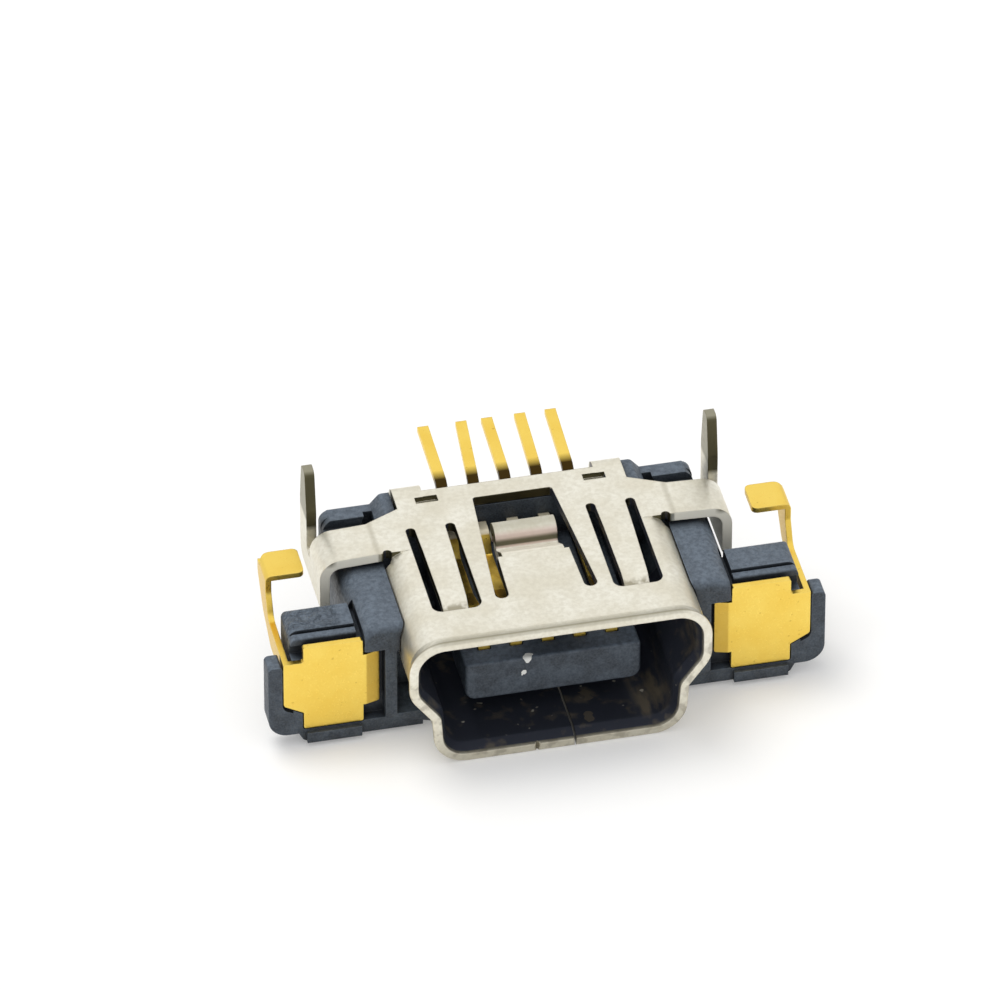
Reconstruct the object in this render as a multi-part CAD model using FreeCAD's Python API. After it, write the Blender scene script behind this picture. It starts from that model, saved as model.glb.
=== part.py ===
"""Five-way miniature data socket with two charging contacts, lying board side up.

Frame: X to the right, Y from the mouth to the solder leads, Z up towards the circuit board.
The pieces are drawn with Y counted from the mouth, and moved forward as they are saved, so that
the origin is under the middle of the whole part, at the level of the flared lip's lowest point.
All sizes are in millimetres.
"""
import FreeCAD, Part
import math
import os

Vector = FreeCAD.Vector

# How far a cutting solid runs past what it cuts, the flat left in a slot's rounded end, and the
# distance below which two points are one
past = 1.0
slot_flat = 0.005
same_spot = 1e-4

# Plug opening of the metal shell, a keystone with its wide part towards the board
mouth_width = 6.9
mouth_height = 3.1
keel_width = 5.78
keel_lean = 0.08
shoulder_top = 1.93
shoulder_foot = 1.16
mouth_corner = 0.55
shoulder_bend = 0.45
keel_corner = 0.5

# Sheet metal of the shell, its flared lip and the seam underneath
sheet = 0.25
shell_depth = 6.1
flare_out = 0.12
flare_depth = 0.36
lip_round = 0.07
seam_gap = 0.05
seam_place = 0.36
seam_key = 0.5
seam_key_neck = 0.18
seam_key_lean = 0.1
nick_place = -0.59
nick_width = 0.14
nick_depth = 0.1

# Spring tongue in the middle of the shell's top
window_rear = 5.55
window_front = 1.55
window_rear_width = 2.0
window_front_width = 2.58
window_corner = 0.08
tongue_slot = 0.34
tongue_shoulder_width = 1.79
tongue_tip_width = 1.56
tongue_flat_end = 3.24
tongue_dip = 0.5
tongue_curl_front = 4.03
tongue_curl_length = 0.37
tongue_curl_rise = 0.1
tongue_hook = 0.45
tongue_bend = 0.2
tongue_curl_bend = 0.18

# Pair of side springs in the shell's top
spring_centre = 2.27
spring_width = 0.76
spring_tip_width = 0.62
spring_slot = 0.24
spring_front = 1.36
spring_rear = 4.7
spring_tip_gap = 0.2
spring_flat = 0.7
spring_dip = 0.1
spring_curl = 0.22
spring_curl_length = 0.4

# Rear ears of the shell, folded down over the moulding, each with a coined dimple in front
ear_gap = 0.43
ear_reach = 0.45
ear_drop = 0.9
ear_bend = 0.24
ear_corner = 0.12
dimple_place = 0.38
dimple_width = 0.56
dimple_length = 0.24
dimple_depth = 0.14

# Side arms of the shell, bent down outside the moulding
arm_front = 3.88
arm_width = 1.22
arm_flat = 0.1
arm_reach = 1.5
arm_slope = 0.06
arm_sweep = 0.42
arm_bend = 0.42
arm_relief = 0.14
relief_round = 0.11

# Flanges behind the arms and their legs through the board
flange_bottom = 2.25
flange_height = 0.62
flange_corner = 0.35
leg_width = 0.75
leg_gap = 0.36
leg_top = 5.12
leg_point = 1.1
leg_tip_width = 0.4
leg_tip_round = 0.16

# Side bars and rear wall of the moulding
fit = 0.03
bar_top = 3.34
bar_round = 0.5
bar_gap = 0.24
bar_front = 1.42
bar_nose = 0.22
bar_under = 0.5
pocket_rear = 2.6
pocket_low = 0.62
pocket_high = 2.6
rear_wall = 0.3
rear_top = 3.25
rear_round = 0.3
comb_top = 3.43
ledge_depth = 0.25
ledge_wall = 0.45
post_flat = 0.28
post_slope = 0.24
post_drop = 0.16
block_front = 5.55

# Wings of the moulding, their foot lips and outer guards
wing_front = 1.5
wing_rear = 2.95
wing_inset = 0.24
wing_top = 3.14
wing_bottom = 0.12
wing_round = 0.12
rail_width = 0.2
rail_drop = 0.05
rail_groove = 0.07
wing_ledge = 2.9
groove_width = 0.12
groove_depth = 0.29
ear_room = 0.12
lip_forward = 0.12
lip_height = 0.3
guard_reach = 0.38
guard_top = 2.5
guard_bottom = 0.36
guard_rear = 2.05
guard_round = 0.5
hook_gap = 0.12
notch_depth = 0.3

# Tongue of the housing that the plug slides over
blade_width = 4.4
blade_thickness = 1.1
blade_front = 0.9
blade_top = 1.9
blade_round = 0.28
blade_edge = 0.08
groove_floor = 0.22

# Five signal contacts
contact_count = 5
contact_pitch = 0.8
contact_width = 0.28
contact_strip = 0.15
contact_tip = 1.5
contact_lift = 0.02
contact_toe = 0.3
contact_crest = 1.1
contact_arch = 0.36
contact_valley = 1.9
contact_low = 0.1
knee_foot = 0.72
knee_crown = 0.32
knee_rear = 0.22
knee_height = 0.56
lead_drop = 0.12
lead_length = 1.95
lead_rise = 0.24
lead_sway = (-0.04, 0.13, -0.02, 0.02, 0.0)

# Two charging contacts, a cross-shaped plate with a strip back and up to the board
plate_strip = 0.15
plate_width = 1.49
plate_bottom = 0.5
plate_height = 2.53
plate_ear_inner = 0.42
plate_ear_outer = 0.5
plate_corner = 0.06
ear_low = 1.0
ear_high = 2.57
ear_slant = 0.28
ear_lean = 0.1
strip_height = 0.62
strip_run = 1.55
foot_gap = 0.44
foot_length = 0.98
foot_width = 0.95
foot_rear = 4.56
foot_bend = 0.16
foot_corner = 0.15
foot_heel = 0.3

# Heights and half widths that follow from the sizes above
flare_angle = math.atan2(flare_out, flare_depth)
lip_drop = lip_round * ((1 + math.sin(flare_angle)) / math.cos(flare_angle) - 1)
inner_bottom = flare_out + sheet - lip_drop
inner_top = inner_bottom + mouth_height
board_plane = inner_top + sheet
sheet_mid = board_plane - sheet / 2
shell_side = mouth_width / 2 + sheet
keel_side = keel_width / 2 + sheet
above_all = leg_top + past
contacts_half = (contact_count - 1) / 2 * contact_pitch + contact_width / 2
ear_inner = contacts_half + ear_gap
ear_outer = mouth_width / 2 - mouth_corner
arm_rear = arm_front + arm_width
arm_crease = shell_side + arm_flat
arm_span = shell_side + arm_reach
flange_inner = arm_span - sheet
leg_front = arm_rear + leg_gap
leg_rear = leg_front + leg_width
housing_rear = shell_depth + rear_wall
bar_half = flange_inner - bar_gap
blade_roof = inner_bottom + blade_top
strip_outer = arm_span + foot_gap + foot_length
plate_back = wing_front + plate_strip
plate_top = plate_bottom + plate_height
plate_outer = strip_outer - plate_ear_outer
plate_inner = plate_outer - plate_width
ear_edge = plate_inner - plate_ear_inner
wing_half = strip_outer - wing_inset
guard_half = strip_outer + guard_reach
frame_inner = shell_side + arm_flat
frame_outer = ear_edge - ear_room
middle_depth = (housing_rear + lead_length) / 2


def turn_at(before, corner, after):
    """Signed turn of a path at a corner, in radians, positive to the left."""
    first = math.atan2(corner[1] - before[1], corner[0] - before[0])
    second = math.atan2(after[1] - corner[1], after[0] - corner[0])
    turn = second - first
    return math.atan2(math.sin(turn), math.cos(turn))


def split(path):
    """Points and bend radii of a path; a corner given without a radius is sharp."""
    points = [tuple(corner[:2]) for corner in path]
    radii = [corner[2] if len(corner) > 2 else 0.0 for corner in path]
    return points, radii


def shifted(path, shift, closed):
    """Path parallel to the given one, to its right by shift, with bend radii to match."""
    points, radii = split(path)
    count = len(points)
    moved = []
    for i, here in enumerate(points):
        before = points[i - 1] if i > 0 or closed else None
        after = points[(i + 1) % count] if i < count - 1 or closed else None
        turn = turn_at(before, here, after) if before and after else 0.0
        start, goal = (before, here) if before else (here, after)
        heading = math.atan2(goal[1] - start[1], goal[0] - start[0])
        normal = heading + turn / 2 - math.pi / 2
        reach = shift / math.cos(turn / 2)
        bend = radii[i] + (shift if turn > 0 else -shift)
        spot = (here[0] + reach * math.cos(normal), here[1] + reach * math.sin(normal))
        moved.append((*spot, max(bend, 0.0) if radii[i] > 0 else 0.0))
    return moved


def bend_stops(before, here, after, radius):
    """Where a rounded corner starts, its middle, and where it ends."""
    turn = turn_at(before, here, after)
    setback = radius * math.tan(abs(turn) / 2)
    back = setback / math.dist(before, here)
    ahead = setback / math.dist(here, after)
    enter = tuple(h + (b - h) * back for h, b in zip(here, before))
    leave = tuple(h + (a - h) * ahead for h, a in zip(here, after))
    chord_middle = tuple((e + f) / 2 for e, f in zip(enter, leave))
    share = radius * (1 - math.cos(turn / 2)) / math.dist(here, chord_middle)
    middle = tuple(m + (h - m) * share for m, h in zip(chord_middle, here))
    return enter, middle, leave


def rounded_edges(path, place, closed):
    """Lines and arcs along a path, each corner rounded by its own radius."""
    points, radii = split(path)
    count = len(points)
    stops = []
    for i, here in enumerate(points):
        if radii[i] <= 0 or (not closed and i in (0, count - 1)):
            stops.append((here, None, here))
        else:
            stops.append(bend_stops(points[i - 1], here, points[(i + 1) % count], radii[i]))
    edges = []
    for i, (enter, middle, leave) in enumerate(stops):
        if middle:
            edges.append(Part.Arc(place(enter), place(middle), place(leave)).toShape())
        if closed or i < count - 1:
            goal = stops[(i + 1) % count][0]
            if math.dist(leave, goal) > same_spot:
                edges.append(Part.LineSegment(place(leave), place(goal)).toShape())
    return edges


def plan(point):
    """A point of the XY plane."""
    return Vector(point[0], point[1], 0)


def front(point):
    """A point of the XZ plane."""
    return Vector(point[0], 0, point[1])


def side(point):
    """A point of the YZ plane."""
    return Vector(0, point[0], point[1])


def outline(path, place):
    """Closed wire with rounded corners."""
    return Part.Wire(rounded_edges(path, place, True))


def prism(path, place, start, end):
    """Solid between two stations, with its section in the given plane."""
    axis = {plan: Vector(0, 0, 1), front: Vector(0, 1, 0), side: Vector(1, 0, 0)}[place]
    wire = outline(path, place)
    wire.translate(axis * start)
    return Part.Face(wire).extrude(axis * (end - start))


def bent_strip(path, thickness, place, start, end):
    """Sheet of even thickness that follows a bent centre line, between two stations."""
    right = shifted(path, thickness / 2, False)
    left = shifted(path, -thickness / 2, False)
    return prism(right + left[::-1], place, start, end)


def block(x0, x1, y0, y1, z0, z1):
    """Rectangular solid between its lowest and highest corners."""
    return Part.makeBox(x1 - x0, y1 - y0, z1 - z0, Vector(x0, y0, z0))


def symmetric(right):
    """Closed outline made of its right half and that half's mirror image."""
    points, radii = split(right)
    twin = [(-x, y, r) for (x, y), r in zip(points, radii)]
    return right + twin[::-1]


def mirrored(shape):
    """The same shape on the other side of the middle plane."""
    return shape.mirror(Vector(0, 0, 0), Vector(1, 0, 0))


def both_sides(shape):
    """A shape of the right side, with its twin on the left."""
    return [shape, mirrored(shape)]


def joined(shapes):
    """One clean solid made of shapes that touch or overlap."""
    return shapes[0].multiFuse(shapes[1:]).removeSplitter()


def edges_where(shape, test):
    """Edges of a shape whose middle point passes a test."""
    found = []
    for edge in shape.Edges:
        middle = edge.valueAt((edge.FirstParameter + edge.LastParameter) / 2)
        if test(middle):
            found.append(edge)
    return found


def near(value, goal):
    """Whether a coordinate lies at a given station."""
    return abs(value - goal) < same_spot


def keystone(grow):
    """Section of the plug opening, grown all round by a distance."""
    half = mouth_width / 2
    keel = keel_width / 2
    right = [
        (keel - keel_lean, inner_bottom, keel_corner),
        (keel, inner_bottom + shoulder_foot, shoulder_bend),
        (half, inner_bottom + shoulder_top, shoulder_bend),
        (half, inner_top, mouth_corner),
    ]
    return shifted(symmetric(right), grow, True)


def keystone_prism(grow, start, end):
    """Straight solid of the plug opening's section."""
    return prism(keystone(grow), front, start, end)


def keystone_flare(grow):
    """Solid of the plug opening's section that widens towards the mouth."""
    wires = []
    for extra, station in ((flare_out, 0.0), (0.0, flare_depth)):
        wire = outline(keystone(grow + extra), front)
        wire.translate(Vector(0, station, 0))
        wires.append(wire)
    return Part.makeLoft(wires, True, True)


def shell_tube():
    """Folded body of the shell with its flared mouth and rounded lip."""
    outer = joined([keystone_prism(sheet, flare_depth, shell_depth), keystone_flare(sheet)])
    outer = outer.makeFillet(lip_round, edges_where(outer, lambda middle: near(middle.y, 0.0)))
    inner = joined([keystone_prism(0.0, flare_depth, shell_depth), keystone_flare(0.0)])
    return outer.cut(inner)


def shell_seam():
    """Gap of the dovetailed butt seam along the shell's underside."""
    middle = shell_depth / 2
    path = [
        (seam_place, -past),
        (seam_place, middle - seam_key, seam_gap),
        (seam_place + seam_key_neck, middle - seam_key + seam_key_lean, seam_gap),
        (seam_place + seam_key, middle - seam_key, seam_gap),
        (seam_place + seam_key, middle + seam_key, seam_gap),
        (seam_place + seam_key_neck, middle + seam_key - seam_key_lean, seam_gap),
        (seam_place, middle + seam_key, seam_gap),
        (seam_place, shell_depth + past),
    ]
    return bent_strip(path, seam_gap, plan, -flare_out, inner_bottom + sheet)


def lip_nick():
    """Shear mark across the bottom of the lip, beside the seam."""
    half = nick_width / 2
    mark = [(nick_place - half, 0.0), (nick_place + half, 0.0), (nick_place, nick_depth)]
    return prism(mark, plan, -flare_out, inner_bottom)


def top_cut(path):
    """Opening through the flat top of the shell."""
    return prism(path, plan, inner_top - sheet, board_plane + sheet)


def tongue_half_width(y):
    """Half width of the spring tongue's flat part at a station behind its root."""
    root = window_front_width / 2 - tongue_slot
    share = (y - window_front) / (tongue_flat_end - window_front)
    return root + (tongue_shoulder_width / 2 - root) * share


def window_cut():
    """Window round the spring tongue, with a round slot down each side of it."""
    root_y = window_front + tongue_slot
    half_front = window_front_width / 2
    slot_end = tongue_slot / 2 - slot_flat
    right = [
        (tongue_half_width(root_y), root_y),
        (half_front - tongue_slot, window_front, slot_end),
        (half_front, window_front, slot_end),
        (window_rear_width / 2, window_rear, window_corner),
    ]
    return top_cut(symmetric(right))


def spring_tongue():
    """Tongue that runs back from the mouth, dips towards the plug and curls up at its tip."""
    root_y = window_front + tongue_slot
    crest = sheet_mid + tongue_curl_rise
    curl_rear = tongue_curl_front + tongue_curl_length
    path = [
        (root_y, sheet_mid),
        (tongue_flat_end, sheet_mid, tongue_bend),
        (tongue_curl_front - sheet / 4, sheet_mid - tongue_dip, tongue_bend),
        (tongue_curl_front, crest, tongue_bend),
        (curl_rear, crest, tongue_curl_bend),
        (curl_rear + sheet / 4, crest - tongue_hook),
    ]
    strip = bent_strip(path, sheet, side, -window_front_width, window_front_width)
    shoulder = tongue_flat_end - tongue_bend / 2
    tip = tongue_tip_width / 2
    right = [
        (tongue_half_width(root_y), root_y),
        (tongue_half_width(shoulder), shoulder),
        (tip, shoulder),
        (tip, window_rear),
    ]
    return strip.common(prism(symmetric(right), plan, 0.0, above_all))


def spring_cut():
    """U-shaped slot round the right side spring, with the spring itself taken out."""
    half = spring_width / 2
    root = spring_rear - spring_slot
    low = spring_centre - half - spring_slot
    high = spring_centre + half + spring_slot
    slot_end = spring_slot / 2 - slot_flat
    return top_cut([
        (low, spring_front, spring_slot),
        (high, spring_front, spring_slot),
        (high, spring_rear, slot_end),
        (high - spring_slot, spring_rear, slot_end),
        (spring_centre + half, root),
        (spring_centre - half, root),
        (low + spring_slot, spring_rear, slot_end),
        (low, spring_rear, slot_end),
    ])


def side_spring():
    """Right side spring, fixed at the rear, that narrows and curls towards the plug at its tip."""
    root = spring_rear - spring_slot
    tip = spring_front + spring_tip_gap
    low = sheet_mid - spring_dip
    path = [
        (root, sheet_mid),
        (root - spring_flat, sheet_mid, spring_flat),
        (tip + spring_curl_length, low, spring_curl_length),
        (tip, low - spring_curl),
    ]
    strip = bent_strip(path, sheet, side, 0.0, spring_centre * 2)
    shape = [
        (spring_centre - spring_width / 2, root),
        (spring_centre + spring_width / 2, root),
        (spring_centre + spring_tip_width / 2, tip - sheet),
        (spring_centre - spring_tip_width / 2, tip - sheet),
    ]
    return strip.common(prism(shape, plan, 0.0, above_all))


def ear_dimple():
    """Dimple coined into the shell's top in front of the right rear ear."""
    centre = contacts_half + dimple_place
    rear = shell_depth - ear_bend
    low = centre - dimple_width / 2
    high = centre + dimple_width / 2
    return block(low, high, rear - dimple_length, rear, board_plane - dimple_depth, above_all)


def rear_ear():
    """Right rear ear, carried back from the shell's top and folded down."""
    back = shell_depth + ear_reach - sheet / 2
    low = sheet_mid - ear_drop
    path = [(shell_depth - sheet, sheet_mid), (back, sheet_mid, ear_bend), (back, low)]
    strip = bent_strip(path, sheet, side, ear_inner, ear_outer)
    shape = [
        (ear_inner, low, ear_corner),
        (ear_outer, low, ear_corner),
        (ear_outer, above_all),
        (ear_inner, above_all),
    ]
    return strip.common(prism(shape, front, shell_depth - past, shell_depth + past))


def corner_cut():
    """Rear corner of the right side wall, left open for the moulding."""
    floor = inner_bottom + shoulder_foot
    start = arm_rear + arm_sweep
    return block(ear_outer, arm_span, start, shell_depth + past, floor, above_all)


def arm_cut():
    """Part of the right side wall that is bent out to make the arm, with a relief in front."""
    floor = inner_bottom + shoulder_foot
    opening = block(ear_outer, arm_span, arm_front, arm_rear + arm_sweep, floor, above_all)
    relief = block(mouth_width / 2, arm_span, arm_front - arm_relief, arm_rear, floor, above_all)
    return opening.fuse(relief)


def relief_hole():
    """Round end of the relief, let into the front of the right arm's root."""
    centre = Vector(mouth_width / 2 + relief_round / 2, arm_front, inner_top - sheet)
    return Part.makeCylinder(relief_round, 3 * sheet, centre)


def side_arm():
    """Right arm: flat off the top, creased, and bent down outside the moulding."""
    outer = arm_span - sheet / 2
    path = [
        (ear_outer, sheet_mid),
        (arm_crease, sheet_mid, sheet),
        (outer, sheet_mid - arm_slope, arm_bend),
        (outer, flange_bottom),
    ]
    return bent_strip(path, sheet, front, arm_front, arm_rear)


def arm_gusset():
    """Slanted rear edge where the right arm leaves the shell's top."""
    inside = ear_outer - sheet
    start = arm_rear - sheet
    reach = arm_rear + arm_sweep
    shape = [
        (inside, start),
        (arm_crease, start),
        (arm_crease, arm_rear),
        (ear_outer, reach),
        (inside, reach),
    ]
    return prism(shape, plan, inner_top, board_plane)


def board_leg():
    """Right flange behind the arm, with the tapering leg that stands up through the board."""
    knee = flange_bottom + flange_height
    middle = (leg_front + leg_rear) / 2
    tip = leg_tip_width / 2
    waist = leg_top - leg_point
    corner = leg_tip_round / 2
    path = [
        (arm_front, flange_bottom, corner),
        (leg_rear, flange_bottom, flange_corner),
        (leg_rear, waist, flange_corner),
        (middle + tip, leg_top, leg_tip_round),
        (middle - tip, leg_top, leg_tip_round),
        (leg_front, waist, flange_corner),
        (leg_front, knee, leg_tip_round),
        (arm_rear, knee, corner),
        (arm_rear, knee + corner),
        (arm_front, knee + corner),
    ]
    return prism(path, side, flange_inner, arm_span)


def shield_shell():
    """Metal shell, one sheet folded round the plug opening."""
    cuts = [shell_seam(), lip_nick(), window_cut()]
    for cut in (spring_cut(), ear_dimple(), corner_cut(), arm_cut()):
        cuts += both_sides(cut)
    parts = [shell_tube().cut(cuts), spring_tongue()]
    for piece in (side_spring(), rear_ear(), side_arm(), arm_gusset(), board_leg()):
        parts += both_sides(piece)
    return joined(parts).cut(both_sides(relief_hole()))


def blade():
    """Tongue of the moulding, with a groove for each contact in its top."""
    half = blade_width / 2
    low = blade_roof - blade_thickness
    section = [
        (-half, low, blade_round),
        (half, low, blade_round),
        (half, blade_roof, blade_edge),
        (-half, blade_roof, blade_edge),
    ]
    body = prism(section, front, blade_front, block_front + sheet)
    body = body.makeFillet(blade_edge, edges_where(body, lambda middle: near(middle.y, blade_front)))
    half_groove = contact_width / 2 + fit
    grooves = []
    for x in contact_places():
        grooves.append(block(x - half_groove, x + half_groove, contact_tip - 2 * fit, block_front,
                             blade_roof - groove_floor, above_all))
    return body.cut(grooves)


def rear_block():
    """Rear of the moulding: a plug in the shell and a wall behind it that the leads pass over."""
    plug = keystone_prism(-fit, block_front, shell_depth - ear_bend)
    neck_half = keel_width / 2 - ear_bend
    neck = block(-neck_half, neck_half, block_front, shell_depth + 2 * fit, inner_bottom + ear_bend,
                 inner_top - ear_bend)
    comb_half = ear_inner - 2 * fit
    comb = block(-comb_half, comb_half, shell_depth + fit, housing_rear, rear_top - rear_round, comb_top)
    corner = rear_round / 2
    section = [
        (-bar_half, inner_bottom, corner),
        (bar_half, inner_bottom, corner),
        (bar_half, rear_top, rear_round),
        (-bar_half, rear_top, rear_round),
    ]
    wall = prism(section, front, shell_depth + fit, housing_rear)
    return [plug, neck, comb, wall]


def corner_post():
    """Raised rear corner of the moulding beside the shell's narrowed top."""
    inner = ear_outer + fit
    flat_end = ear_outer + post_flat
    slope_end = flat_end + post_slope
    post_top = board_plane - post_drop
    floor = rear_top / 2
    section = [
        (inner, floor),
        (slope_end, floor),
        (slope_end, rear_top),
        (flat_end, post_top, post_drop),
        (inner, post_top),
    ]
    return prism(section, front, arm_rear + arm_sweep + fit, housing_rear)


def ear_recess():
    """Recess in the back of the moulding that takes the right rear ear."""
    start = shell_depth + ear_reach - sheet - fit
    low = sheet_mid - ear_drop - fit
    return block(ear_inner - fit, ear_outer + fit, start, housing_rear + past, low, board_plane)


def side_bar():
    """Right side bar of the moulding, rounded on top, that hugs the shell from its front to the rear."""
    low = keel_side - sheet
    section = [
        (low, wing_bottom),
        (bar_half, wing_bottom + bar_under, bar_round / 2),
        (bar_half, bar_top, bar_round),
        (low, bar_top),
    ]
    bar = prism(section, front, bar_front, housing_rear)
    nose = edges_where(bar, lambda middle: near(middle.y, bar_front) and near(middle.z, bar_top))
    bar = bar.makeFillet(bar_nose, nose)
    ledge = block(ear_outer, arm_span, arm_rear + fit, housing_rear - ledge_wall, rear_top - ledge_depth,
                  above_all)
    rear_cut = block(0.0, arm_span, housing_rear - ledge_wall, housing_rear + past, rear_top, above_all)
    return bar.cut([ledge, rear_cut])


def bar_pocket():
    """Open pocket between the shell's side and the frame wall of the right wing."""
    return block(0.0, frame_inner, 0.0, pocket_rear, pocket_low, pocket_high)


def wing_body():
    """Right wing that carries the charging plate, with a rail along the front of its raised top."""
    foot_edge = wing_half - plate_outer
    section = [
        (keel_side, wing_bottom),
        (plate_outer, wing_bottom, wing_round),
        (plate_outer + foot_edge / 2, guard_bottom, wing_round / 2),
        (wing_half, guard_bottom + wing_round, wing_round / 2),
        (wing_half, wing_top, 2 * wing_round),
        (keel_side, wing_top),
    ]
    rail_front = plate_back + plate_strip
    rail_rear = rail_front + rail_width
    rail_top = wing_top - rail_drop
    profile = [
        (wing_front, wing_bottom),
        (wing_rear, wing_bottom),
        (wing_rear, wing_top, wing_round),
        (rail_rear + rail_groove, wing_top),
        (rail_rear + rail_groove, rail_top - rail_groove),
        (rail_rear, rail_top - rail_groove),
        (rail_rear, rail_top),
        (rail_front, rail_top, wing_round / 2),
        (rail_front, wing_ledge),
        (wing_front, wing_ledge),
    ]
    body = prism(section, front, wing_front, wing_rear)
    return body.common(prism(profile, side, 0.0, wing_half))


def wing_groove():
    """Groove between the right side bar and the raised top of the wing."""
    return block(bar_half - groove_width, bar_half + fit, 0.0, wing_rear, wing_top - groove_depth, above_all)


def wing_guard():
    """Right outer guard, hooked under the plate's ear."""
    inner = strip_outer + fit
    root = plate_outer - fit
    path = [
        (inner, guard_top, wing_round / 2),
        (inner, ear_low + ear_slant - hook_gap, 2 * wing_round),
        (root, ear_low - hook_gap),
        (root, guard_bottom),
        (guard_half, guard_bottom, guard_round),
        (guard_half, guard_top, wing_round),
    ]
    return prism(path, front, wing_front, guard_rear)


def plate_pocket():
    """Room in the right wing for the charging plate, its inner ear, its strip and the strip's root."""
    pocket = prism(shifted(plate_outline(), fit, True), front, 0.0, plate_back)
    ear_back = plate_back + plate_strip
    ear_pocket = block(frame_outer, plate_inner + plate_corner, 0.0, ear_back, plate_bottom,
                       ear_high + ear_room)
    strip_room = block(wing_half, strip_outer + fit, 0.0, housing_rear, ear_low + ear_slant, above_all)
    notch_back = plate_back + notch_depth
    notch = block(plate_outer - plate_corner, strip_outer, 0.0, notch_back, ear_high, wing_ledge)
    return [pocket, ear_pocket, strip_room, notch]


def front_lip():
    """Right foot lip that stands a little forward under the plate."""
    return block(plate_inner + plate_corner, plate_outer - plate_corner, wing_front - lip_forward,
                 plate_back + plate_strip, wing_bottom, wing_bottom + lip_height)


def housing():
    """Black moulding: tongue, rear block, side bars and the two wings, in one piece."""
    bar = side_bar().cut(bar_pocket())
    wing = joined([wing_body(), wing_guard(), front_lip()])
    side_parts = joined([bar, wing.cut(bar_pocket())])
    side_parts = side_parts.cut(plate_pocket() + [wing_groove()])
    side_parts = side_parts.cut(keystone_prism(sheet + fit, -past, shell_depth + fit))
    parts = [blade()] + rear_block() + both_sides(side_parts) + both_sides(corner_post())
    return joined(parts).cut(both_sides(ear_recess()))


def contact_places():
    """Stations of the signal contacts across the socket."""
    middle = (contact_count - 1) / 2
    return [(i - middle) * contact_pitch for i in range(contact_count)]


def contact_path():
    """Centre line of a signal contact from its tip to just past the end of its lead."""
    rest = blade_roof + contact_lift
    bend = 2 * contact_strip
    exit_level = board_plane - lead_drop
    run = lead_length + contact_strip
    return [
        (contact_tip, rest - contact_lift),
        (contact_tip + contact_toe, rest, bend),
        (contact_tip + contact_crest, rest + contact_arch, bend),
        (contact_tip + contact_valley, rest + contact_low, bend),
        (block_front - knee_foot, rest + contact_low, bend / 2),
        (block_front - knee_crown, rest + knee_height, bend / 2),
        (shell_depth - knee_rear, rest + knee_height, bend),
        (housing_rear, exit_level, bend),
        (housing_rear + run, exit_level + lead_rise / lead_length * run),
    ]


def signal_contact(x, sway):
    """Signal contact: spring beam on the tongue, bends in the rear block, and solder lead."""
    half = contact_width / 2
    lead_end = housing_rear + lead_length
    strip = bent_strip(contact_path(), contact_strip, side, -contact_pitch, contact_pitch)
    blank = [
        (-half, 0.0),
        (half, 0.0),
        (half, housing_rear),
        (half + sway, lead_end),
        (-half + sway, lead_end),
        (-half, housing_rear),
    ]
    contact = strip.common(prism(blank, plan, 0.0, above_all))
    contact.translate(Vector(x, 0, 0))
    return contact


def inner_ear():
    """Inner ear of the right charging plate, leaning back a little from its crease."""
    middle = wing_front + plate_strip / 2
    path = [
        (plate_inner + plate_strip, middle),
        (plate_inner - plate_corner, middle, plate_strip),
        (ear_edge, middle + ear_lean),
    ]
    strip = bent_strip(path, plate_strip, plan, ear_low, ear_high)
    blank = [
        (ear_edge, ear_low, plate_corner),
        (plate_outer, ear_low),
        (plate_outer, ear_high),
        (ear_edge, ear_high, plate_corner),
    ]
    return strip.common(prism(blank, front, 0.0, wing_rear))


def plate_outline():
    """Outline of the right charging plate without its inner ear."""
    corner = plate_corner
    return [
        (plate_inner, plate_bottom, corner),
        (plate_outer, plate_bottom, corner),
        (plate_outer, ear_low, corner),
        (strip_outer, ear_low + ear_slant, 2 * corner),
        (strip_outer, ear_high),
        (plate_outer, ear_high, corner),
        (plate_outer, plate_top, corner),
        (plate_inner, plate_top, corner),
    ]


def contact_foot(foot_front, crown):
    """Solder foot, bent in from the top of the strip, with a round heel and toe."""
    centre = strip_outer - plate_strip / 2
    toe = strip_outer - foot_length
    level = board_plane - plate_strip / 2
    path = [(centre, crown), (centre, level, foot_bend - plate_strip / 2), (toe, level)]
    foot = bent_strip(path, plate_strip, front, foot_front, foot_rear)
    shape = [
        (toe, foot_front, foot_corner),
        (strip_outer, foot_front),
        (strip_outer, foot_rear, foot_heel),
        (toe, foot_rear, foot_corner),
    ]
    return foot.common(prism(shape, plan, 0.0, above_all))


def power_contact():
    """Right charging contact: plate, swan-necked strip and solder foot."""
    plate = prism(plate_outline(), front, wing_front, plate_back)
    foot_front = foot_rear - foot_width
    crown = board_plane - foot_bend
    shoulder = ear_high + strip_height
    neck = [
        (wing_front, ear_high - strip_height),
        (wing_front + strip_run, ear_high - strip_height, 2 * plate_strip),
        (foot_rear - strip_height, ear_high - plate_strip, 3 * plate_strip),
        (foot_rear, shoulder, 2 * plate_strip),
        (foot_rear, crown),
        (foot_front, crown),
        (foot_front, shoulder, 2 * plate_strip),
        (foot_front - 2 * plate_strip, ear_high, 2 * plate_strip),
        (wing_front, ear_high),
    ]
    strip = prism(neck, side, strip_outer - plate_strip, strip_outer)
    return joined([plate, inner_ear(), strip, contact_foot(foot_front, crown)])


def save(name, shape):
    """Write one piece to its own file."""
    solids = shape.Solids
    if len(solids) != 1 or not shape.isValid():
        raise ValueError("%s: %d solids, valid %s" % (name, len(solids), shape.isValid()))
    piece = solids[0].translated(Vector(0, -middle_depth, 0))
    piece.exportStep(os.path.join("parts", name + ".step"))


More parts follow.
